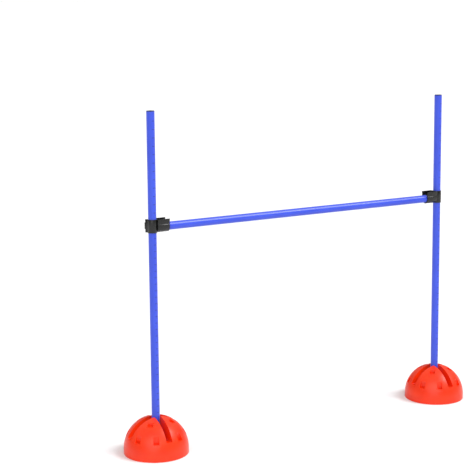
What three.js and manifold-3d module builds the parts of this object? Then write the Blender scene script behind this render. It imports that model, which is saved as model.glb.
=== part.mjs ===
// Agility hurdle: two slotted dome bases, two upright poles, two height clips and a drop-off crossbar.
// Units are millimetres. +X runs along the crossbar, +Y is the side the pole grips open to, +Z is up.
// The origin is on the ground, midway between the two poles.

import * as THREE from 'three';
import { mergeVertices } from 'three/addons/utils/BufferGeometryUtils.js';
import Module from 'manifold-3d';

const wasm = await Module();
wasm.setup();

// ---- driving dimensions ----

// tubes
const TUBE_DIAMETER = 25;
const TUBE_WALL = 1.5;
const POLE_SPACING = 1080;
const POLE_LENGTH = 1042;
const BAR_HEIGHT = 700;
const TUBE_SIDES = 32;

// plugs in the ends of the poles
const PLUG_FLANGE = 1.6;
const PLUG_DEPTH = 14;
const PLUG_WALL = 1.6;
const PLUG_CLEARANCE = 0.3;

// sleeves on the ends of the crossbar
const SLEEVE_LENGTH = 32.5;
const SLEEVE_SPIGOT_DEPTH = 22;
const SLEEVE_WALL = 3.2;
const SLEEVE_CHAMFER = 1;
const SLEEVE_END_GAP = 0.8;

// clips
const GRIP_CLEARANCE = 0.25;
const CRADLE_CLEARANCE = 0.4;
const CLIP_WALL = 1.9;
const CRADLE_WALL = 3.2;
const CLIP_ABOVE_BAR = 24.5;
const GRIP_WRAP_DEG = 38;
const LIP_LENGTH = 10.5;
const LIP_FLARE_DEG = 48;
const LIP_TAB_LENGTH = 3;
const LIP_TAB_HEIGHT = 20;
const SHOULDER_HEIGHT = 6.5;
const SHOULDER_RISE = 2.5;
const SHOULDER_STEP = 1.7;
const CRADLE_LIP_ROOT = 7;
const CRADLE_LIP_LEAN = 1.6;
const CRADLE_LENGTH = 36.5;
const END_WALL_THICKNESS = 4;
const END_WALL_BITE = 0.5;
const END_WALL_INSET = 0.6;
const END_WALL_DROP = 1;
const CLIP_ARC_SEGMENTS = 16;

// dome bases
const BASE_RADIUS = 100;
const BASE_SKIRT_HEIGHT = 15;
const BASE_CAP_HEIGHT = 100;
const BASE_WALL = 3;
const SOCKET_FLOOR = 4;
const SOCKET_WALL = 3;
const SOCKET_CLEARANCE = 0.35;
const SLOT_WIDTH = 20;
const SLOT_FLOOR_HEIGHT = 55;
const POCKET_WIDTH = 18;
const UPPER_POCKET_BACK = 43;
const UPPER_POCKET_EDGE = 60;
const LOWER_POCKET_BACK = 80.5;
const LOWER_POCKET_EDGE = 93;
const LOWER_POCKET_OFFSET_DEG = 19;
const BASE_SIDES = 44;
const BASE_CAP_RINGS = 8;
const OVERCUT = 5;

// ---- values worked out from them ----

const TUBE_RADIUS = TUBE_DIAMETER / 2;
const TUBE_BORE = TUBE_RADIUS - TUBE_WALL;
const GRIP_BORE = TUBE_RADIUS + GRIP_CLEARANCE;
const CRADLE_BORE = TUBE_RADIUS + CRADLE_CLEARANCE;
const SOCKET_BORE = TUBE_RADIUS + SOCKET_CLEARANCE;
const POLE_FOOT = SOCKET_FLOOR + PLUG_CLEARANCE;
const POLE_START = POLE_FOOT + PLUG_FLANGE + PLUG_CLEARANCE;
const POLE_END = POLE_START + POLE_LENGTH;
const CRADLE_OUTER = CRADLE_BORE + CRADLE_WALL;
const CLIP_BOTTOM = BAR_HEIGHT - CRADLE_OUTER;
const CLIP_HEIGHT = CRADLE_OUTER + CLIP_ABOVE_BAR;
const GRIP_OUTER = GRIP_BORE + CLIP_WALL;
const BASE_HEIGHT = BASE_SKIRT_HEIGHT + BASE_CAP_HEIGHT;
const BAR_END = POLE_SPACING / 2 - GRIP_OUTER - SLEEVE_END_GAP;
const BAR_TUBE_END = BAR_END - SLEEVE_LENGTH;
const DEG = Math.PI / 180;

// ---- solids ----

// A three.js geometry as a solid, with its shared vertices merged.
function solid(geometry) {
  const bare = geometry.clone();
  bare.deleteAttribute('normal');
  bare.deleteAttribute('uv');
  const merged = mergeVertices(bare, 1e-4);
  return new wasm.Manifold(new wasm.Mesh({
    numProp: 3,
    vertProperties: new Float32Array(merged.attributes.position.array),
    triVerts: new Uint32Array(merged.index.array),
  }));
}

// A solid back as a three.js geometry.
function geometryOf(body) {
  const mesh = body.getMesh();
  const geometry = new THREE.BufferGeometry();
  geometry.setAttribute('position', new THREE.BufferAttribute(mesh.vertProperties, 3));
  geometry.setIndex(new THREE.BufferAttribute(mesh.triVerts, 1));
  geometry.computeVertexNormals();
  return geometry;
}

function join(solids) {
  return solids.reduce((whole, next) => whole.add(next));
}

// A body of revolution about +Z from [radius, height] points.
function turned(points, sides) {
  const profile = points.map(([r, z]) => new THREE.Vector2(r, z));
  return new THREE.LatheGeometry(profile, sides).rotateX(Math.PI / 2);
}

// A closed ring of revolution: its last point meets its first.
function turnedRing(points, sides) {
  return turned([...points, points[0]], sides);
}

// An outline in XY pushed up +Z from height z0 to z1.
function prism(outline, z0, z1) {
  const shape = new THREE.Shape(outline.map(([x, y]) => new THREE.Vector2(x, y)));
  const geometry = new THREE.ExtrudeGeometry(shape, { depth: z1 - z0, bevelEnabled: false });
  return geometry.translate(0, 0, z0);
}

function box(x0, x1, y0, y1, z0, z1) {
  return new THREE.BoxGeometry(x1 - x0, y1 - y0, z1 - z0)
    .translate((x0 + x1) / 2, (y0 + y1) / 2, (z0 + z1) / 2);
}

// Points on an arc about the origin, both ends included.
function arc(radius, fromDeg, toDeg, steps) {
  return Array.from({ length: steps + 1 }, (_, i) => {
    const angle = (fromDeg + (toDeg - fromDeg) * i / steps) * DEG;
    return [radius * Math.cos(angle), radius * Math.sin(angle)];
  });
}

// ---- materials ----

const orangePlastic = new THREE.MeshStandardMaterial({ color: 0xff4e2d, roughness: 0.35, metalness: 0 });
const bluePlastic = new THREE.MeshStandardMaterial({ color: 0x4a5ce6, roughness: 0.4, metalness: 0 });
const blackPlastic = new THREE.MeshStandardMaterial({ color: 0x242424, roughness: 0.5, metalness: 0 });

// ---- dome bases ----

// Outer profile of the dome, or of a copy shrunk by inset.
function domeProfile(inset, floorZ) {
  const radius = BASE_RADIUS - inset;
  const cap = BASE_CAP_HEIGHT - inset;
  const points = [[0, floorZ], [radius, floorZ]];
  for (let i = 0; i <= BASE_CAP_RINGS; i += 1) {
    const angle = 90 * DEG * i / BASE_CAP_RINGS;
    const r = i === BASE_CAP_RINGS ? 0 : radius * Math.cos(angle);
    points.push([r, BASE_SKIRT_HEIGHT + cap * Math.sin(angle)]);
  }
  return points;
}

// Height of the dome's surface at a distance from its axis.
function surfaceHeight(radius) {
  return BASE_SKIRT_HEIGHT + BASE_CAP_HEIGHT * Math.sqrt(1 - (radius / BASE_RADIUS) ** 2);
}

// The cross of two slots, grown by margin. Their flat floor runs out through the dome's sides.
function slotCross(margin) {
  const half = SLOT_WIDTH / 2 + margin;
  const reach = BASE_RADIUS + OVERCUT;
  const floorZ = SLOT_FLOOR_HEIGHT - margin;
  const alongX = solid(box(-reach, reach, -half, half, floorZ, BASE_HEIGHT + OVERCUT));
  const alongY = solid(box(-half, half, -reach, reach, floorZ, BASE_HEIGHT + OVERCUT));
  return alongX.add(alongY);
}

// One pocket, grown by margin: an upright back wall and a flat floor that runs out at the edge.
function pocketBlock(backRadius, edgeRadius, azimuthDeg, margin) {
  const half = POCKET_WIDTH / 2 + margin;
  const floorZ = surfaceHeight(edgeRadius) - margin;
  const block = box(backRadius - margin, BASE_RADIUS + OVERCUT, -half, half, floorZ, BASE_HEIGHT + OVERCUT);
  return solid(block.rotateZ(azimuthDeg * DEG));
}

// Every pocket of a dome: one high in each quadrant and a pair low down.
function pocketBlocks(margin) {
  const blocks = [];
  for (let quadrant = 0; quadrant < 4; quadrant += 1) {
    const middle = 45 + 90 * quadrant;
    blocks.push(pocketBlock(UPPER_POCKET_BACK, UPPER_POCKET_EDGE, middle, margin));
    for (const turn of [-LOWER_POCKET_OFFSET_DEG, LOWER_POCKET_OFFSET_DEG]) {
      blocks.push(pocketBlock(LOWER_POCKET_BACK, LOWER_POCKET_EDGE, middle + turn, margin));
    }
  }
  return blocks;
}

// An upright cylinder about the dome's axis, from a height to above the dome.
function axisCylinder(radius, fromZ) {
  const top = BASE_HEIGHT + OVERCUT;
  return solid(new THREE.CylinderGeometry(radius, radius, top - fromZ, TUBE_SIDES)
    .rotateX(Math.PI / 2).translate(0, 0, (top + fromZ) / 2));
}

// A hollow dome with a slotted crown, shallow pockets and a blind socket for the pole.
function domeBase() {
  const hull = solid(turned(domeProfile(0, 0), BASE_SIDES));
  const hollow = solid(turned(domeProfile(BASE_WALL, -OVERCUT), BASE_SIDES));
  const socket = axisCylinder(SOCKET_BORE + SOCKET_WALL, 0);
  const inside = join([slotCross(BASE_WALL), socket, ...pocketBlocks(BASE_WALL)]).intersect(hull);
  const cuts = join([slotCross(0), axisCylinder(SOCKET_BORE, SOCKET_FLOOR), ...pocketBlocks(0)]);
  return geometryOf(hull.subtract(hollow).add(inside).subtract(cuts));
}

// ---- poles and their plugs ----

function tube(length) {
  return turnedRing([
    [TUBE_BORE, 0], [TUBE_RADIUS, 0], [TUBE_RADIUS, length], [TUBE_BORE, length],
  ], TUBE_SIDES);
}

// A plug that closes a tube's end: flange on top, hollow spigot hanging down from z = 0.
function plug() {
  const spigot = TUBE_BORE - PLUG_CLEARANCE;
  return turned([
    [0, PLUG_CLEARANCE - PLUG_WALL], [spigot - PLUG_WALL, PLUG_CLEARANCE - PLUG_WALL],
    [spigot - PLUG_WALL, -PLUG_DEPTH], [spigot, -PLUG_DEPTH], [spigot, PLUG_CLEARANCE],
    [TUBE_RADIUS, PLUG_CLEARANCE], [TUBE_RADIUS, PLUG_CLEARANCE + PLUG_FLANGE],
    [0, PLUG_CLEARANCE + PLUG_FLANGE],
  ], TUBE_SIDES);
}

// ---- crossbar and its sleeves ----

// A sleeve as thick as the bar, with a spigot that plugs into the tube towards -Z from z = 0.
function sleeve() {
  const spigot = TUBE_BORE - PLUG_CLEARANCE;
  const hollow = spigot - SLEEVE_WALL;
  return turned([
    [0, SLEEVE_LENGTH - SLEEVE_WALL], [hollow, SLEEVE_LENGTH - SLEEVE_WALL],
    [hollow, -SLEEVE_SPIGOT_DEPTH], [spigot, -SLEEVE_SPIGOT_DEPTH], [spigot, PLUG_CLEARANCE],
    [TUBE_RADIUS, PLUG_CLEARANCE], [TUBE_RADIUS, SLEEVE_LENGTH - SLEEVE_CHAMFER],
    [TUBE_RADIUS - SLEEVE_CHAMFER, SLEEVE_LENGTH], [0, SLEEVE_LENGTH],
  ], TUBE_SIDES);
}

// ---- clips ----

// Outline of one flared lip of the grip, on the +X side; it starts inside the end of the wrap.
function lipOutline() {
  const root = (GRIP_BORE + GRIP_OUTER) / 2;
  const start = new THREE.Vector2(root * Math.cos(GRIP_WRAP_DEG * DEG), root * Math.sin(GRIP_WRAP_DEG * DEG));
  const along = new THREE.Vector2(Math.cos(LIP_FLARE_DEG * DEG), Math.sin(LIP_FLARE_DEG * DEG));
  const across = new THREE.Vector2(-along.y, along.x).multiplyScalar(CLIP_WALL / 2);
  const tip = start.clone().addScaledVector(along, LIP_LENGTH);
  return [
    [start.x - across.x, start.y - across.y], [tip.x - across.x, tip.y - across.y],
    [tip.x + across.x, tip.y + across.y], [start.x + across.x, start.y + across.y],
  ];
}

// The blocks above and below the lips' short tabs, which are cut away.
function lipTrim() {
  const reach = GRIP_OUTER + LIP_LENGTH;
  const wrapEnd = (GRIP_BORE + GRIP_OUTER) / 2 * Math.sin(GRIP_WRAP_DEG * DEG);
  const tabStart = wrapEnd + (LIP_LENGTH - LIP_TAB_LENGTH) * Math.sin(LIP_FLARE_DEG * DEG);
  const cut = (CLIP_HEIGHT - LIP_TAB_HEIGHT) / 2;
  return [[-1, cut], [CLIP_HEIGHT - cut, CLIP_HEIGHT + 1]]
    .map(([low, high]) => solid(box(-reach, reach, tabStart, tabStart + reach, low, high)));
}

// The part that snaps on a pole: a C open towards +Y with two flared lips, standing on z = 0.
function grip() {
  const from = GRIP_WRAP_DEG;
  const to = -180 - GRIP_WRAP_DEG;
  const ring = [
    ...arc(GRIP_OUTER, from, to, CLIP_ARC_SEGMENTS), ...arc(GRIP_BORE, to, from, CLIP_ARC_SEGMENTS),
  ];
  const lip = lipOutline();
  const mirrored = lip.map(([x, y]) => [-x, y]).reverse();
  const lips = [lip, mirrored].map((outline) => solid(prism(outline, 0, CLIP_HEIGHT)));
  const trimmed = lipTrim().reduce((body, block) => body.subtract(block), join(lips));
  return solid(prism(ring, 0, CLIP_HEIGHT)).add(trimmed);
}

// Outline of the cradle in (y, z) about the bar's axis: a thick round trough, whose sloped shoulders
// carry two thin lips.
function cradleOutline() {
  const tip = CRADLE_BORE + CRADLE_LIP_LEAN;
  const backSide = [
    [CRADLE_OUTER, SHOULDER_HEIGHT], [CRADLE_OUTER - SHOULDER_STEP, SHOULDER_HEIGHT + SHOULDER_RISE],
    [tip + CLIP_WALL, CLIP_ABOVE_BAR], [tip, CLIP_ABOVE_BAR], [CRADLE_BORE, CRADLE_LIP_ROOT],
  ];
  const frontSide = backSide.map(([y, z]) => [-y, z]).reverse();
  return [
    ...arc(CRADLE_OUTER, -180, 0, CLIP_ARC_SEGMENTS), ...backSide,
    ...arc(CRADLE_BORE, 0, -180, CLIP_ARC_SEGMENTS), ...frontSide,
  ];
}

// The wall that closes the cradle next to the pole: the trough's inside, run into the trough's wall.
function endWallOutline() {
  const bore = CRADLE_BORE + END_WALL_BITE;
  const tip = bore + CRADLE_LIP_LEAN;
  const top = CLIP_ABOVE_BAR - END_WALL_DROP;
  return [
    ...arc(bore, -180, 0, CLIP_ARC_SEGMENTS), [bore, CRADLE_LIP_ROOT], [tip, top],
    [-tip, top], [-bore, CRADLE_LIP_ROOT],
  ];
}

// A cross-section in (y, z) about the bar's axis, pushed along +X between two distances.
function alongBar(outline, x0, x1) {
  return prism(outline, x0, x1).rotateX(Math.PI / 2).rotateZ(Math.PI / 2)
    .translate(0, 0, CRADLE_OUTER);
}

// A clip for the pole at -X: its cradle runs towards +X. It stands on z = 0 about the pole's axis.
function clip() {
  const wallEnd = GRIP_OUTER + SLEEVE_END_GAP / 2;
  const wallStart = wallEnd - END_WALL_THICKNESS;
  const cradle = alongBar(cradleOutline(), wallStart, GRIP_OUTER + CRADLE_LENGTH);
  const wall = alongBar(endWallOutline(), wallStart + END_WALL_INSET, wallEnd);
  const root = (GRIP_BORE + GRIP_OUTER) / 2;
  const poleRoom = solid(new THREE.CylinderGeometry(root, root, 2 * CLIP_HEIGHT, TUBE_SIDES)
    .rotateX(Math.PI / 2).translate(0, 0, CLIP_HEIGHT));
  return geometryOf(join([solid(cradle), solid(wall)]).subtract(poleRoom).add(grip()));
}

// ---- assembly ----

function piece(name, geometry, material) {
  const mesh = new THREE.Mesh(geometry, material);
  mesh.name = name;
  return mesh;
}

// One upright: base, pole and both plugs, standing on the origin.
function upright(side) {
  const group = new THREE.Group();
  const pole = piece(`pole_${side}`, tube(POLE_LENGTH), bluePlastic);
  pole.position.z = POLE_START;
  const topPlug = piece(`pole_top_plug_${side}`, plug(), blackPlastic);
  topPlug.position.z = POLE_END;
  const footPlug = piece(`pole_foot_plug_${side}`, plug(), blackPlastic);
  footPlug.rotation.x = Math.PI;
  footPlug.position.z = POLE_START;
  group.add(piece(`dome_base_${side}`, domeBase(), orangePlastic), pole, topPlug, footPlug);
  return group;
}

const hurdle = new THREE.Group();
hurdle.name = 'agility_hurdle';

for (const [side, sign] of [['left', -1], ['right', 1]]) {
  const stand = upright(side);
  stand.position.x = sign * POLE_SPACING / 2;
  const poleClip = clip();
  if (sign > 0) {
    poleClip.scale(-1, 1, 1);
    const order = poleClip.index.array;
    for (let i = 0; i < order.length; i += 3) {
      [order[i], order[i + 1]] = [order[i + 1], order[i]];
    }
  }
  const clipMesh = piece(`pole_clip_${side}`, poleClip, blackPlastic);
  clipMesh.position.z = CLIP_BOTTOM;
  stand.add(clipMesh);
  const endSleeve = piece(`bar_sleeve_${side}`, sleeve(), blackPlastic);
  endSleeve.rotation.y = sign * Math.PI / 2;
  endSleeve.position.set(sign * BAR_TUBE_END, 0, BAR_HEIGHT);
  hurdle.add(stand, endSleeve);
}

const bar = piece('crossbar', tube(2 * BAR_TUBE_END), bluePlastic);
bar.rotation.y = Math.PI / 2;
bar.position.set(-BAR_TUBE_END, 0, BAR_HEIGHT);
hurdle.add(bar);

export default hurdle;
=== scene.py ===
"""Looks of an agility hurdle: moulded dome bases, printed tube poles, black clips and a crossbar."""
import math

import bmesh
import bpy
from mathutils import Matrix, Vector


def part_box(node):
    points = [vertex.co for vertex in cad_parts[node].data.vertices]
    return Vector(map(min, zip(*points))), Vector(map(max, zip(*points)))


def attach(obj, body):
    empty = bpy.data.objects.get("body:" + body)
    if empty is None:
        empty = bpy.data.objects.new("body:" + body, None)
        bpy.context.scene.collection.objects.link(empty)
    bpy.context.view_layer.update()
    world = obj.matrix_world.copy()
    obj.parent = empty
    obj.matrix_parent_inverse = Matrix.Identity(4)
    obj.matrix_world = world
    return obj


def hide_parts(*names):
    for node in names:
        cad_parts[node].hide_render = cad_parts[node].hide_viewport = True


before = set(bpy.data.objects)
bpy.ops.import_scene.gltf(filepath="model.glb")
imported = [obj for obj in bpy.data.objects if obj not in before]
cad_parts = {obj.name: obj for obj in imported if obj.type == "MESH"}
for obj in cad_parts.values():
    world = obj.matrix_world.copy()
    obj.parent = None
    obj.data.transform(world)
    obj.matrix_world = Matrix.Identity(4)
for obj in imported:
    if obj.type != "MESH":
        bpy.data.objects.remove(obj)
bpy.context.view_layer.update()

SIDES = ("left", "right")

# ---- places taken from the frame, in metres ----

POLE_LOW, POLE_HIGH = (Vector(corner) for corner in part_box("pole_left"))
TUBE_RADIUS = (POLE_HIGH.x - POLE_LOW.x) / 2
TUBE_WALL = 0.0015
POLE_X = {side: (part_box(f"pole_{side}")[0][0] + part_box(f"pole_{side}")[1][0]) / 2 for side in SIDES}
BAR_LOW, BAR_HIGH = (Vector(corner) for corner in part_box("crossbar"))
BAR_HEIGHT = (BAR_LOW.z + BAR_HIGH.z) / 2
DOME_LOW, DOME_HIGH = (Vector(corner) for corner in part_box("dome_base_left"))
DOME_RADIUS = (DOME_HIGH.y - DOME_LOW.y) / 2

# ---- sizes that the CAD solids have too, in metres ----

DOME_SKIRT = 0.015
DOME_CAP = 0.100
DOME_WALL = 0.003
SOCKET_FLOOR = 0.004
SOCKET_RADIUS = 0.01285
SOCKET_WALL = 0.003
SLOT_WIDTH = 0.020
SLOT_FLOOR = 0.055
POCKET_WIDTH = 0.018
UPPER_POCKET = (0.043, 0.060)
LOWER_POCKET = (0.0805, 0.093)
LOWER_POCKET_TURN = math.radians(19)
PLUG_WALL = 0.0016
PLUG_CLEARANCE = 0.0003
SLEEVE_WALL = 0.0032
GRIP_BORE = TUBE_RADIUS + 0.00025
GRIP_WRAP = math.radians(38)
CLIP_WALL = 0.0019
LIP_LENGTH = 0.0105
LIP_FLARE = math.radians(48)
LIP_TAB_LENGTH = 0.003
LIP_TAB_HEIGHT = 0.020
CRADLE_BORE = TUBE_RADIUS + 0.0004
CRADLE_WALL = 0.0032
SHOULDER_HEIGHT = 0.0065
SHOULDER_RISE = 0.0025
SHOULDER_STEP = 0.0017
CRADLE_LIP_ROOT = 0.007
CRADLE_LIP_LEAN = 0.0016
CRADLE_LENGTH = 0.0365
END_WALL = 0.004
END_WALL_PROUD = 0.0004
END_WALL_BITE = 0.0005
END_WALL_INSET = 0.0006
END_WALL_DROP = 0.001


# ---- material helpers ----

class Shader:
    """A material's node tree, with short calls for the nodes used here."""

    def __init__(self, name):
        self.material = bpy.data.materials.new(name)
        self.material.use_nodes = True
        self.nodes = self.material.node_tree.nodes
        self.links = self.material.node_tree.links
        self.principled = self.nodes["Principled BSDF"]

    def node(self, kind, inputs=None, **settings):
        made = self.nodes.new(kind)
        for key, value in settings.items():
            setattr(made, key, value)
        for key, value in (inputs or {}).items():
            self.feed(made.inputs[key], value)
        return made

    def feed(self, socket, value):
        if isinstance(value, bpy.types.NodeSocket):
            self.links.new(value, socket)
        else:
            socket.default_value = value

    def set(self, **inputs):
        for key, value in inputs.items():
            self.feed(self.principled.inputs[key.replace("_", " ")], value)

    def place(self, scale=(1, 1, 1)):
        """Object coordinates, stretched by scale."""
        coords = self.node("ShaderNodeTexCoord")
        return self.node("ShaderNodeMapping", {"Vector": coords.outputs["Object"], "Scale": scale}).outputs[0]

    def noise(self, vector, scale, detail=3.0, roughness=0.55):
        return self.node("ShaderNodeTexNoise", {
            "Vector": vector, "Scale": scale, "Detail": detail, "Roughness": roughness,
        }).outputs["Fac"]

    def ramp(self, factor, low, high, to_low, to_high):
        """A number mapped from low..high to to_low..to_high and kept inside."""
        return self.node("ShaderNodeMapRange", {
            "Value": factor, "From Min": low, "From Max": high, "To Min": to_low, "To Max": to_high,
        }).outputs[0]

    def mix(self, factor, dark, light):
        made = self.node("ShaderNodeMix", data_type="RGBA")
        self.feed(made.inputs["Factor"], factor)
        self.feed(made.inputs[6], dark)
        self.feed(made.inputs[7], light)
        return made.outputs[2]

    def bump(self, height, strength, distance):
        made = self.node("ShaderNodeBump", {"Height": height, "Strength": strength, "Distance": distance})
        return made.outputs[0]


def rgb(red, green, blue):
    """An sRGB colour given in 0..255 as the linear colour a shader takes."""
    def linear(value):
        value /= 255
        return value / 12.92 if value <= 0.04045 else ((value + 0.055) / 1.055) ** 2.4
    return (linear(red), linear(green), linear(blue), 1.0)


# ---- materials ----

def base_plastic():
    """Injection-moulded orange-red shell: soft gloss, faint flow marks, fine orange peel."""
    shader = Shader("base_plastic")
    place = shader.place()
    flow = shader.noise(shader.place((1, 1, 2.5)), 14, 4)
    grain = shader.noise(place, 900, 2)
    peel = shader.noise(place, 260, 2)
    scuff = shader.noise(shader.place((1, 1, 0.3)), 120, 6, 0.7)
    colour = shader.mix(shader.ramp(flow, 0.35, 0.65, 0, 1), rgb(232, 46, 6), rgb(240, 54, 9))
    height = shader.node("ShaderNodeMath", {0: peel, 1: shader.ramp(grain, 0, 1, 0, 0.3)}, operation="ADD")
    shader.set(
        Base_Color=colour,
        Roughness=shader.ramp(scuff, 0.3, 0.75, 0.30, 0.44),
        Normal=shader.bump(height.outputs[0], 0.10, 0.0006),
    )
    shader.principled.inputs["Specular IOR Level"].default_value = 0.35
    shader.principled.inputs["Subsurface Weight"].default_value = 0.04
    shader.principled.inputs["Subsurface Scale"].default_value = 0.004
    return shader.material


def tube_plastic(name, stretch):
    """Extruded blue tube: draw lines along its length, satin gloss, light handling scuffs."""
    shader = Shader(name)
    lines = shader.noise(shader.place(stretch), 420, 3)
    cloud = shader.noise(shader.place(), 9, 3)
    scuff = shader.noise(shader.place(), 160, 6, 0.72)
    colour = shader.mix(shader.ramp(cloud, 0.35, 0.65, 0, 1), rgb(50, 74, 204), rgb(56, 82, 214))
    shader.set(
        Base_Color=colour,
        Roughness=shader.ramp(scuff, 0.3, 0.75, 0.26, 0.42),
        Normal=shader.bump(lines, 0.10, 0.0003),
    )
    return shader.material


def black_plastic():
    """Black moulded fittings with a fine spark-eroded texture and slightly polished high spots."""
    shader = Shader("black_plastic")
    place = shader.place()
    grain = shader.noise(place, 1500, 3, 0.6)
    wear = shader.noise(place, 70, 5, 0.65)
    colour = shader.mix(shader.ramp(wear, 0.4, 0.7, 0, 1), rgb(9, 9, 9), rgb(20, 20, 18))
    shader.set(
        Base_Color=colour,
        Roughness=shader.ramp(wear, 0.35, 0.7, 0.22, 0.36),
        Normal=shader.bump(grain, 0.25, 0.0004),
    )
    return shader.material


def scale_ink():
    """Navy pad-printed ink, a little uneven."""
    shader = Shader("scale_ink")
    patch = shader.noise(shader.place(), 700, 4, 0.7)
    colour = shader.mix(shader.ramp(patch, 0.3, 0.7, 0, 1), rgb(30, 42, 128), rgb(40, 54, 150))
    shader.set(Base_Color=colour, Roughness=shader.ramp(patch, 0.3, 0.7, 0.4, 0.6))
    return shader.material


def floor_paint():
    """Pale studio floor with a barely visible mottle."""
    shader = Shader("studio_floor")
    mottle = shader.noise(shader.place(), 3, 4)
    colour = shader.mix(mottle, (0.86, 0.86, 0.86, 1), (0.90, 0.90, 0.90, 1))
    shader.set(Base_Color=colour, Roughness=0.9)
    return shader.material


# ---- mesh helpers ----

def new_object(name, mesh, material):
    piece = bpy.data.objects.new(name, mesh)
    bpy.context.scene.collection.objects.link(piece)
    mesh.materials.append(material)
    return piece


SHARP_ANGLE = math.radians(35)
BEVEL_ANGLE = math.radians(32)
BEVEL_SEGMENTS = 2


def smooth(mesh):
    """Smooth shading, kept sharp where two faces meet at more than SHARP_ANGLE."""
    mesh.shade_smooth()
    mesh.set_sharp_from_angle(angle=SHARP_ANGLE)


def lathe_mesh(name, profile, segments, closed):
    """A body of revolution about +Z. An open profile starts and ends on the axis."""
    vertices = []
    rings = []
    for radius, height in profile:
        if radius < 1e-9:
            rings.append([len(vertices)])
            vertices.append((0, 0, height))
            continue
        rings.append(range(len(vertices), len(vertices) + segments))
        for i in range(segments):
            angle = 2 * math.pi * i / segments
            vertices.append((radius * math.cos(angle), radius * math.sin(angle), height))
    pairs = list(zip(rings, rings[1:]))
    if closed:
        pairs.append((rings[-1], rings[0]))
    faces = []
    for lower, upper in pairs:
        for i in range(segments):
            j = (i + 1) % segments
            loop = [ring[k % len(ring)] for ring, k in ((lower, i), (lower, j), (upper, j), (upper, i))]
            faces.append(list(dict.fromkeys(loop)))
    mesh = bpy.data.meshes.new(name)
    mesh.from_pydata(vertices, [], faces)
    return mesh


def prism_mesh(name, outline, depth):
    """An outline in (x, y) as a closed block from z = 0 to depth."""
    count = len(outline)
    vertices = [(x, y, 0) for x, y in outline] + [(x, y, depth) for x, y in outline]
    faces = [list(range(count))[::-1], list(range(count, 2 * count))]
    faces += [[i, (i + 1) % count, (i + 1) % count + count, i + count] for i in range(count)]
    mesh = bpy.data.meshes.new(name)
    mesh.from_pydata(vertices, [], faces)
    return mesh


def outward(mesh):
    """Turn every face outward and clear loose leftovers."""
    work = bmesh.new()
    work.from_mesh(mesh)
    bmesh.ops.remove_doubles(work, verts=work.verts, dist=1e-7)
    bmesh.ops.recalc_face_normals(work, faces=work.faces)
    work.to_mesh(mesh)
    work.free()


def arc(radius, start, end, steps, centre=(0, 0)):
    return [
        (centre[0] + radius * math.cos(start + (end - start) * i / steps),
         centre[1] + radius * math.sin(start + (end - start) * i / steps))
        for i in range(steps + 1)
    ]


def rounded_rectangle(width, height, radius, steps=5):
    points = []
    for quarter, (sx, sy) in enumerate(((1, 1), (-1, 1), (-1, -1), (1, -1))):
        centre = (sx * (width / 2 - radius), sy * (height / 2 - radius))
        points += arc(radius, quarter * math.pi / 2, (quarter + 1) * math.pi / 2, steps, centre)
    return points


def boolean(body, tool_mesh, operation):
    """Join a closed mesh to the body, or cut it away."""
    outward(tool_mesh)
    tool = bpy.data.objects.new("tool", tool_mesh)
    bpy.context.scene.collection.objects.link(tool)
    change = body.modifiers.new("change", "BOOLEAN")
    change.operation = operation
    change.solver = "EXACT"
    change.object = tool
    evaluated = body.evaluated_get(bpy.context.evaluated_depsgraph_get())
    result = bpy.data.meshes.new_from_object(evaluated)
    body.modifiers.clear()
    old = body.data
    body.data = result
    bpy.data.meshes.remove(old)
    bpy.data.objects.remove(tool)
    bpy.data.meshes.remove(tool_mesh)


def bevelled(piece, width, clamped):
    """Round every edge sharper than BEVEL_ANGLE, and write the result into the mesh.

    A clamped rounding is cut down to what the piece's shortest edges leave room for.
    """
    edge = piece.modifiers.new("edge", "BEVEL")
    edge.width = width
    edge.segments = BEVEL_SEGMENTS
    edge.limit_method = "ANGLE"
    edge.angle_limit = BEVEL_ANGLE
    edge.use_clamp_overlap = clamped
    evaluated = piece.evaluated_get(bpy.context.evaluated_depsgraph_get())
    result = bpy.data.meshes.new_from_object(evaluated)
    piece.modifiers.clear()
    piece.data = result


def moved(mesh, *steps):
    for step in steps:
        mesh.transform(step)
    return mesh


def merged(meshes):
    """Several separate meshes as one."""
    work = bmesh.new()
    for mesh in meshes:
        outward(mesh)
        work.from_mesh(mesh)
        bpy.data.meshes.remove(mesh)
    whole = bpy.data.meshes.new("merged")
    work.to_mesh(whole)
    work.free()
    return whole


def work_piece(mesh):
    """An object to cut and join, removed when its mesh is done."""
    outward(mesh)
    piece = bpy.data.objects.new("work", mesh)
    bpy.context.scene.collection.objects.link(piece)
    return piece


def finish_piece(name, mesh, material, body, node):
    """A finished piece that rides on a body and stands for a CAD node."""
    outward(mesh)
    mesh.materials.clear()
    smooth(mesh)
    piece = new_object(name, mesh, material)
    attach(piece, body)
    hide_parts(node)


# ---- dome bases ----

DOME_SEGMENTS = 128
DOME_RINGS = 28
DOME_TOP = DOME_SKIRT + DOME_CAP
OVERCUT = 0.006
SLOT_CORNER = 0.0025
POCKET_CORNER = 0.0030
# Only an upper bound: the rounding is clamped, and the dome's shortest edges leave it almost none.
DOME_RIM_RADIUS = 0.0007


def dome_profile(inset, floor):
    radius = DOME_RADIUS - inset
    cap = DOME_CAP - inset
    points = [(0, floor), (radius, floor)]
    for i in range(DOME_RINGS + 1):
        angle = math.pi / 2 * i / DOME_RINGS
        out = 0 if i == DOME_RINGS else radius * math.cos(angle)
        points.append((out, DOME_SKIRT + cap * math.sin(angle)))
    return points


def surface_height(radius):
    return DOME_SKIRT + DOME_CAP * math.sqrt(1 - (radius / DOME_RADIUS) ** 2)


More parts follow.
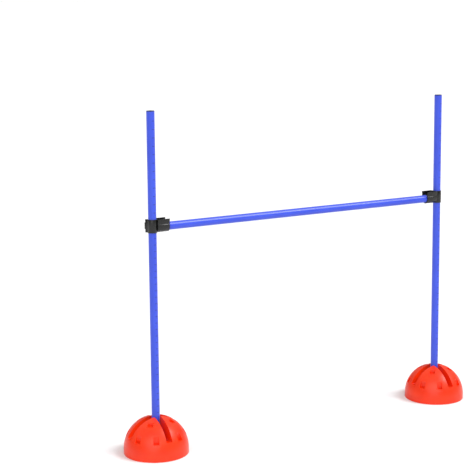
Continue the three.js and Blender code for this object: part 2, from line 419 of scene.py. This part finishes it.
def slot_mesh(grow, turn):
    """One straight slot through the crown, grown on every side, running out through the dome."""
    reach = DOME_RADIUS + OVERCUT
    bottom = SLOT_FLOOR - grow
    half = SLOT_WIDTH / 2 + grow
    corner = SLOT_CORNER + grow
    left = arc(corner, math.pi, 1.5 * math.pi, 5, (corner - half, bottom + corner))
    right = arc(corner, 1.5 * math.pi, 2 * math.pi, 5, (half - corner, bottom + corner))
    top = DOME_TOP + OVERCUT
    outline = left + right + [(half, top), (-half, top)]
    turned = Matrix(((0, 0, 1), (1, 0, 0), (0, 1, 0))).to_4x4()
    return moved(
        prism_mesh("slot", outline, 2 * reach),
        turned,
        Matrix.Translation((-reach, 0, 0)),
        Matrix.Rotation(turn, 4, "Z"),
    )


def pocket_places():
    """Back edge, front edge and direction of every pocket: one high and two low in each quadrant."""
    for quadrant in range(4):
        middle = math.pi / 4 + quadrant * math.pi / 2
        yield *UPPER_POCKET, middle
        yield *LOWER_POCKET, middle - LOWER_POCKET_TURN
        yield *LOWER_POCKET, middle + LOWER_POCKET_TURN


def pockets_mesh(grow):
    """All the pockets, grown on every side: upright back walls and flat floors, open outwards."""
    blocks = []
    for back, edge, turn in pocket_places():
        start = back - grow
        length = DOME_RADIUS + OVERCUT - start
        floor = surface_height(edge) - grow
        outline = rounded_rectangle(length, POCKET_WIDTH + 2 * grow, POCKET_CORNER + grow)
        blocks.append(moved(
            prism_mesh("pocket", outline, DOME_TOP + OVERCUT - floor),
            Matrix.Translation((start + length / 2, 0, floor)),
            Matrix.Rotation(turn, 4, "Z"),
        ))
    return merged(blocks)


def cylinder_mesh(radius, bottom, top, segments=96):
    return lathe_mesh("cylinder", [(0, bottom), (radius, bottom), (radius, top), (0, top)], segments, False)


def dome_body():
    """The hollow shell with its slot channels, pockets and socket, centred on the pole's axis."""
    top = DOME_TOP + OVERCUT
    body = work_piece(lathe_mesh("dome", dome_profile(0, 0), DOME_SEGMENTS, False))
    hull = body.data.copy()
    inside = work_piece(slot_mesh(DOME_WALL, 0))
    boolean(inside, slot_mesh(DOME_WALL, math.pi / 2), "UNION")
    boolean(inside, cylinder_mesh(SOCKET_RADIUS + SOCKET_WALL, 0, top), "UNION")
    boolean(inside, pockets_mesh(DOME_WALL), "UNION")
    boolean(inside, hull, "INTERSECT")
    boolean(body, lathe_mesh("hollow", dome_profile(DOME_WALL, -OVERCUT), DOME_SEGMENTS, False), "DIFFERENCE")
    boolean(body, inside.data.copy(), "UNION")
    bpy.data.objects.remove(inside)
    for turn in (0, math.pi / 2):
        boolean(body, slot_mesh(0, turn), "DIFFERENCE")
    boolean(body, cylinder_mesh(SOCKET_RADIUS, SOCKET_FLOOR, top), "DIFFERENCE")
    boolean(body, pockets_mesh(0), "DIFFERENCE")
    return body


def make_domes(material):
    body = dome_body()
    bevelled(body, DOME_RIM_RADIUS, True)
    for side in SIDES:
        mesh = moved(body.data.copy(), Matrix.Translation((POLE_X[side], 0, 0)))
        finish_piece(f"dome_shell_{side}", mesh, material, "bases", f"dome_base_{side}")
    bpy.data.objects.remove(body)


# ---- tubes, plugs and sleeves ----

TUBE_SEGMENTS = 72
TUBE_EDGE = 0.0004
MOULD_EDGE = 0.0005


def tube_mesh(name, length):
    outer = TUBE_RADIUS
    inner = TUBE_RADIUS - TUBE_WALL
    edge = TUBE_EDGE
    profile = [
        (inner, edge), (inner + edge, 0), (outer - edge, 0), (outer, edge),
        (outer, length - edge), (outer - edge, length), (inner + edge, length), (inner, length - edge),
    ]
    return lathe_mesh(name, profile, TUBE_SEGMENTS, True)


def stopper_mesh(name, depth, proud, wall):
    """A hollow spigot below z = 0 and a solid head as wide as the tube, standing proud above it."""
    spigot = TUBE_RADIUS - TUBE_WALL - PLUG_CLEARANCE
    roof = proud - wall if proud > 2 * wall else PLUG_CLEARANCE - wall
    head = arc(MOULD_EDGE * 2, 0, math.pi / 2, 5, (TUBE_RADIUS - MOULD_EDGE * 2, proud - MOULD_EDGE * 2))
    profile = [
        (0, roof), (spigot - wall, roof), (spigot - wall, -depth), (spigot - MOULD_EDGE, -depth),
        (spigot, MOULD_EDGE - depth), (spigot, PLUG_CLEARANCE),
        (TUBE_RADIUS - TUBE_EDGE, PLUG_CLEARANCE), (TUBE_RADIUS, PLUG_CLEARANCE + TUBE_EDGE),
        *head, (0, proud),
    ]
    return lathe_mesh(name, profile, TUBE_SEGMENTS, False)


def make_poles(tube_material, ink, black):
    for side in SIDES:
        body = f"{side}_pole"
        low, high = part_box(f"pole_{side}")
        place = Matrix.Translation((POLE_X[side], 0, low[2]))
        mesh = moved(tube_mesh("pole", high[2] - low[2]), place)
        finish_piece(f"pole_tube_{side}", mesh, tube_material, body, f"pole_{side}")
        make_scale(side, high[2], ink)
        make_plug(f"pole_top_plug_{side}", f"top_cap_{side}", body, high[2], 1, black)
        make_plug(f"pole_foot_plug_{side}", f"foot_cap_{side}", body, low[2], -1, black)


def make_plug(node, name, body, tube_end, direction, material):
    """The plug of a pole: direction is 1 for a head that points up and -1 for one that points down."""
    low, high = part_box(node)
    proud = high[2] - tube_end if direction > 0 else tube_end - low[2]
    depth = (high[2] - low[2]) - proud
    mesh = stopper_mesh(name, depth, proud, PLUG_WALL)
    if direction < 0:
        moved(mesh, Matrix.Rotation(math.pi, 4, "X"))
    moved(mesh, Matrix.Translation(((low[0] + high[0]) / 2, 0, tube_end)))
    finish_piece(name, mesh, material, body, node)


SCALE_AZIMUTH = math.radians(-78)
TICK_WIDTH = 0.0085
TICK_HEIGHT = 0.0017
UPPER_SCALE_START = 0.745
UPPER_SCALE_STEP = 0.025
LOWER_SCALE_START = 0.668
LOWER_SCALE_STEP = 0.020
INK_THICKNESS = 0.00012


def tick_heights(high):
    height = UPPER_SCALE_START - 2 * UPPER_SCALE_STEP
    while height < high - 0.01:
        yield height
        height += UPPER_SCALE_STEP
    height = LOWER_SCALE_START
    while height > DOME_HIGH.z + 0.01:
        yield height
        height -= LOWER_SCALE_STEP


def make_scale(side, high, ink):
    """The printed height scale: one thin curved tick per step, facing the front of the hurdle."""
    work = bmesh.new()
    steps = 6
    spread = TICK_WIDTH / TUBE_RADIUS
    inner = TUBE_RADIUS - 0.0003
    outer = TUBE_RADIUS + INK_THICKNESS
    for height in tick_heights(high):
        rows = []
        for radius, z in ((inner, -0.5), (outer, -0.5), (outer, 0.5), (inner, 0.5)):
            rows.append([
                work.verts.new((
                    POLE_X[side] + radius * math.cos(SCALE_AZIMUTH + spread * (i / steps - 0.5)),
                    radius * math.sin(SCALE_AZIMUTH + spread * (i / steps - 0.5)),
                    height + z * TICK_HEIGHT,
                ))
                for i in range(steps + 1)
            ])
        for a, b in zip(rows, rows[1:] + rows[:1]):
            for i in range(steps):
                work.faces.new((a[i], a[i + 1], b[i + 1], b[i]))
        work.faces.new([row[0] for row in rows])
        work.faces.new([row[-1] for row in rows][::-1])
    bmesh.ops.recalc_face_normals(work, faces=work.faces)
    mesh = bpy.data.meshes.new(f"height_scale_{side}")
    work.to_mesh(mesh)
    work.free()
    piece = new_object(f"height_scale_{side}", mesh, ink)
    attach(piece, f"{side}_pole")


def make_bar(tube_material, black):
    mesh = moved(
        tube_mesh("bar", BAR_HIGH.x - BAR_LOW.x),
        Matrix.Rotation(math.pi / 2, 4, "Y"),
        Matrix.Translation((BAR_LOW.x, 0, BAR_HEIGHT)),
    )
    finish_piece("crossbar_tube", mesh, tube_material, "bar", "crossbar")
    for side, sign, tube_end in (("left", -1, BAR_LOW.x), ("right", 1, BAR_HIGH.x)):
        node = f"bar_sleeve_{side}"
        low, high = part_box(node)
        proud = tube_end - low[0] if sign < 0 else high[0] - tube_end
        depth = (high[0] - low[0]) - proud
        mesh = moved(
            stopper_mesh("sleeve", depth, proud, SLEEVE_WALL),
            Matrix.Rotation(sign * math.pi / 2, 4, "Y"),
            Matrix.Translation((tube_end, 0, BAR_HEIGHT)),
        )
        finish_piece(f"end_sleeve_{side}", mesh, black, "bar", node)


# ---- clips ----

CLIP_ARC_STEPS = 40
CLIP_EDGE = 0.00035
GRIP_OUTER = GRIP_BORE + CLIP_WALL
# Keeps the cradle's planes from nearly coinciding with the grip's, where joining the two fails.
SURFACE_STEP = 0.00002
CRADLE_OUTER = CRADLE_BORE + CRADLE_WALL - SURFACE_STEP
CLIP_LOW, CLIP_HIGH = (Vector(corner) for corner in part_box("pole_clip_left"))
CLIP_HEIGHT = CLIP_HIGH.z - CLIP_LOW.z
CLIP_ABOVE_BAR = CLIP_HIGH.z - BAR_HEIGHT


def grip_outline():
    """The C that snaps on the pole, seen from above: open towards +Y between two flared lips."""
    root = Vector((math.cos(GRIP_WRAP), math.sin(GRIP_WRAP))) * (GRIP_BORE + GRIP_OUTER) / 2
    along = Vector((math.cos(LIP_FLARE), math.sin(LIP_FLARE)))
    across = Vector((-along.y, along.x)) * CLIP_WALL / 2
    tip = root + along * LIP_LENGTH
    lip = [tuple(tip - across), tuple(tip + across), tuple(root + across)]
    mirrored = [(-x, y) for x, y in reversed(lip)]
    outer_end = GRIP_WRAP - math.asin(CLIP_WALL / 2 / GRIP_OUTER)
    outer = arc(GRIP_OUTER, -math.pi - outer_end, outer_end, CLIP_ARC_STEPS)
    inner = arc(GRIP_BORE, GRIP_WRAP, -math.pi - GRIP_WRAP, CLIP_ARC_STEPS)
    return outer + lip + inner + mirrored


def lip_trims():
    """Blocks that leave only a short tab in the middle of each lip's edge."""
    reach = GRIP_OUTER + LIP_LENGTH
    wrap_end = (GRIP_BORE + GRIP_OUTER) / 2 * math.sin(GRIP_WRAP)
    start = wrap_end + (LIP_LENGTH - LIP_TAB_LENGTH) * math.sin(LIP_FLARE)
    cut = (CLIP_HEIGHT - LIP_TAB_HEIGHT) / 2
    outline = [(-reach, start), (reach, start), (reach, start + reach), (-reach, start + reach)]
    low = moved(prism_mesh("trim", outline, cut + OVERCUT), Matrix.Translation((0, 0, -OVERCUT)))
    high = moved(prism_mesh("trim", outline, cut + OVERCUT), Matrix.Translation((0, 0, CLIP_HEIGHT - cut)))
    return merged([low, high])


def cradle_outline():
    """Outline of the cradle in (y, z) about the bar's axis: a thick trough with two lips on its shoulders.

    It stops a hair short of the grip's top and bottom planes, so that no two surfaces coincide.
    """
    tip = CRADLE_BORE + CRADLE_LIP_LEAN
    top = CLIP_ABOVE_BAR - SURFACE_STEP
    back = [
        (CRADLE_OUTER, SHOULDER_HEIGHT), (CRADLE_OUTER - SHOULDER_STEP, SHOULDER_HEIGHT + SHOULDER_RISE),
        (tip + CLIP_WALL, top), (tip, top), (CRADLE_BORE, CRADLE_LIP_ROOT),
    ]
    front = [(-y, z) for y, z in reversed(back)]
    trough = arc(CRADLE_OUTER, -math.pi, 0, CLIP_ARC_STEPS)
    bore = arc(CRADLE_BORE, 0, -math.pi, CLIP_ARC_STEPS)
    return trough + back + bore + front


def end_wall_outline():
    """The wall that closes the cradle next to the pole, run a little into the trough's wall."""
    bore = CRADLE_BORE + END_WALL_BITE
    tip = bore + CRADLE_LIP_LEAN
    top = CLIP_ABOVE_BAR - END_WALL_DROP
    sides = [(bore, CRADLE_LIP_ROOT), (tip, top), (-tip, top), (-bore, CRADLE_LIP_ROOT)]
    return arc(bore, -math.pi, 0, CLIP_ARC_STEPS) + sides


def along_bar(outline, start, end):
    """A cross-section in (y, z) about the bar's axis, pushed along +X between two distances."""
    turn = Matrix(((0, 0, 1), (1, 0, 0), (0, 1, 0))).to_4x4()
    place = Matrix.Translation((start, 0, CLIP_HEIGHT - CLIP_ABOVE_BAR))
    return moved(prism_mesh("section", outline, end - start), turn, place)


def clip_body():
    """The left clip, standing on z = 0 about the pole's axis, with its cradle towards +X."""
    wall_end = GRIP_OUTER + END_WALL_PROUD
    wall_start = wall_end - END_WALL
    pole_room = (GRIP_BORE + GRIP_OUTER) / 2
    body = work_piece(along_bar(cradle_outline(), wall_start, GRIP_OUTER + CRADLE_LENGTH))
    boolean(body, along_bar(end_wall_outline(), wall_start + END_WALL_INSET, wall_end), "UNION")
    boolean(body, cylinder_mesh(pole_room, -OVERCUT, CLIP_HEIGHT + OVERCUT), "DIFFERENCE")
    grip = work_piece(prism_mesh("grip", grip_outline(), CLIP_HEIGHT))
    boolean(grip, lip_trims(), "DIFFERENCE")
    boolean(body, grip.data.copy(), "UNION")
    bpy.data.objects.remove(grip)
    return body


def make_clips(material):
    body = clip_body()
    bevelled(body, CLIP_EDGE, False)
    for side, mirror in (("left", 1), ("right", -1)):
        mesh = moved(
            body.data.copy(),
            Matrix.Diagonal((mirror, 1, 1, 1)),
            Matrix.Translation((POLE_X[side], 0, CLIP_LOW.z)),
        )
        node = f"pole_clip_{side}"
        finish_piece(f"clip_body_{side}", mesh, material, f"{side}_clip", node)
    bpy.data.objects.remove(body)


# ---- camera, floor and light ----

CAMERA_PLACE = (-2.252, -3.455, 1.374)
CAMERA_YAW = math.radians(30.05)
CAMERA_PITCH = math.radians(8.65)
CAMERA_ROLL = math.radians(-0.49)
CAMERA_FOCAL_PIXELS = 1304
CAMERA_SHIFT = -0.08
IMAGE_PIXELS = 470
FLOOR_REACH = 2000


def make_camera():
    forward = Vector((
        math.sin(CAMERA_YAW) * math.cos(CAMERA_PITCH),
        math.cos(CAMERA_YAW) * math.cos(CAMERA_PITCH),
        -math.sin(CAMERA_PITCH),
    ))
    level = Vector((math.cos(CAMERA_YAW), -math.sin(CAMERA_YAW), 0))
    upright = level.cross(forward)
    right = level * math.cos(CAMERA_ROLL) + upright * math.sin(CAMERA_ROLL)
    up = upright * math.cos(CAMERA_ROLL) - level * math.sin(CAMERA_ROLL)
    data = bpy.data.cameras.new("camera")
    data.sensor_width = 36
    data.lens = data.sensor_width * CAMERA_FOCAL_PIXELS / IMAGE_PIXELS
    data.shift_y = CAMERA_SHIFT
    camera = bpy.data.objects.new("camera", data)
    bpy.context.scene.collection.objects.link(camera)
    turn = Matrix((right, up, -forward)).transposed().to_4x4()
    camera.matrix_world = Matrix.Translation(CAMERA_PLACE) @ turn
    bpy.context.scene.camera = camera


def make_floor():
    mesh = bpy.data.meshes.new("floor")
    reach = FLOOR_REACH
    mesh.from_pydata([(-reach, -reach, 0), (reach, -reach, 0), (reach, reach, 0), (-reach, reach, 0)],
                     [], [(0, 1, 2, 3)])
    floor = new_object("floor", mesh, floor_paint())


def soft_sun(name, direction, strength, spread):
    """Light from far away, as from a large screen seen from the object in the given direction."""
    data = bpy.data.lights.new(name, "SUN")
    data.energy = strength
    data.angle = spread
    lamp = bpy.data.objects.new(name, data)
    bpy.context.scene.collection.objects.link(lamp)
    lamp.rotation_euler = (-Vector(direction)).to_track_quat("-Z", "Y").to_euler()


# Pairs of upward direction (0 level, 1 straight up) and brightness.
WORLD_STOPS = ((0.0, 1.0), (0.012, 1.0), (0.03, 0.18), (0.10, 0.18), (0.35, 0.45), (0.60, 0.75))


def make_world():
    """Studio surroundings: white up to just above the horizon, dim walls, a bright ceiling."""
    world = bpy.data.worlds.new("studio")
    world.use_nodes = True
    nodes = world.node_tree.nodes
    links = world.node_tree.links
    coords = nodes.new("ShaderNodeTexCoord")
    height = nodes.new("ShaderNodeSeparateXYZ")
    strength = nodes.new("ShaderNodeValToRGB")
    stops = strength.color_ramp.elements
    while len(stops) < len(WORLD_STOPS):
        stops.new(0.5)
    for stop, (position, level) in zip(stops, WORLD_STOPS):
        stop.position = position
        stop.color = (level, level, level, 1)
    links.new(coords.outputs["Generated"], height.inputs[0])
    links.new(height.outputs["Z"], strength.inputs["Fac"])
    links.new(strength.outputs[0], nodes["Background"].inputs["Strength"])
    nodes["Background"].inputs["Color"].default_value = (1, 1, 1, 1)
    bpy.context.scene.world = world


def make_light():
    make_world()
    bpy.context.scene.view_settings.view_transform = "Standard"
    soft_sun("ceiling_screen", (0.49, -0.40, 0.78), 2.0, math.radians(26))
    soft_sun("front_screen", (-0.62, -0.80, 0.55), 1.2, math.radians(50))


# ---- build ----

make_camera()
make_floor()
make_light()
black = black_plastic()
make_domes(base_plastic())
make_poles(tube_plastic("pole_plastic", (1, 1, 0.01)), scale_ink(), black)
make_bar(tube_plastic("bar_plastic", (0.01, 1, 1)), black)
make_clips(black)
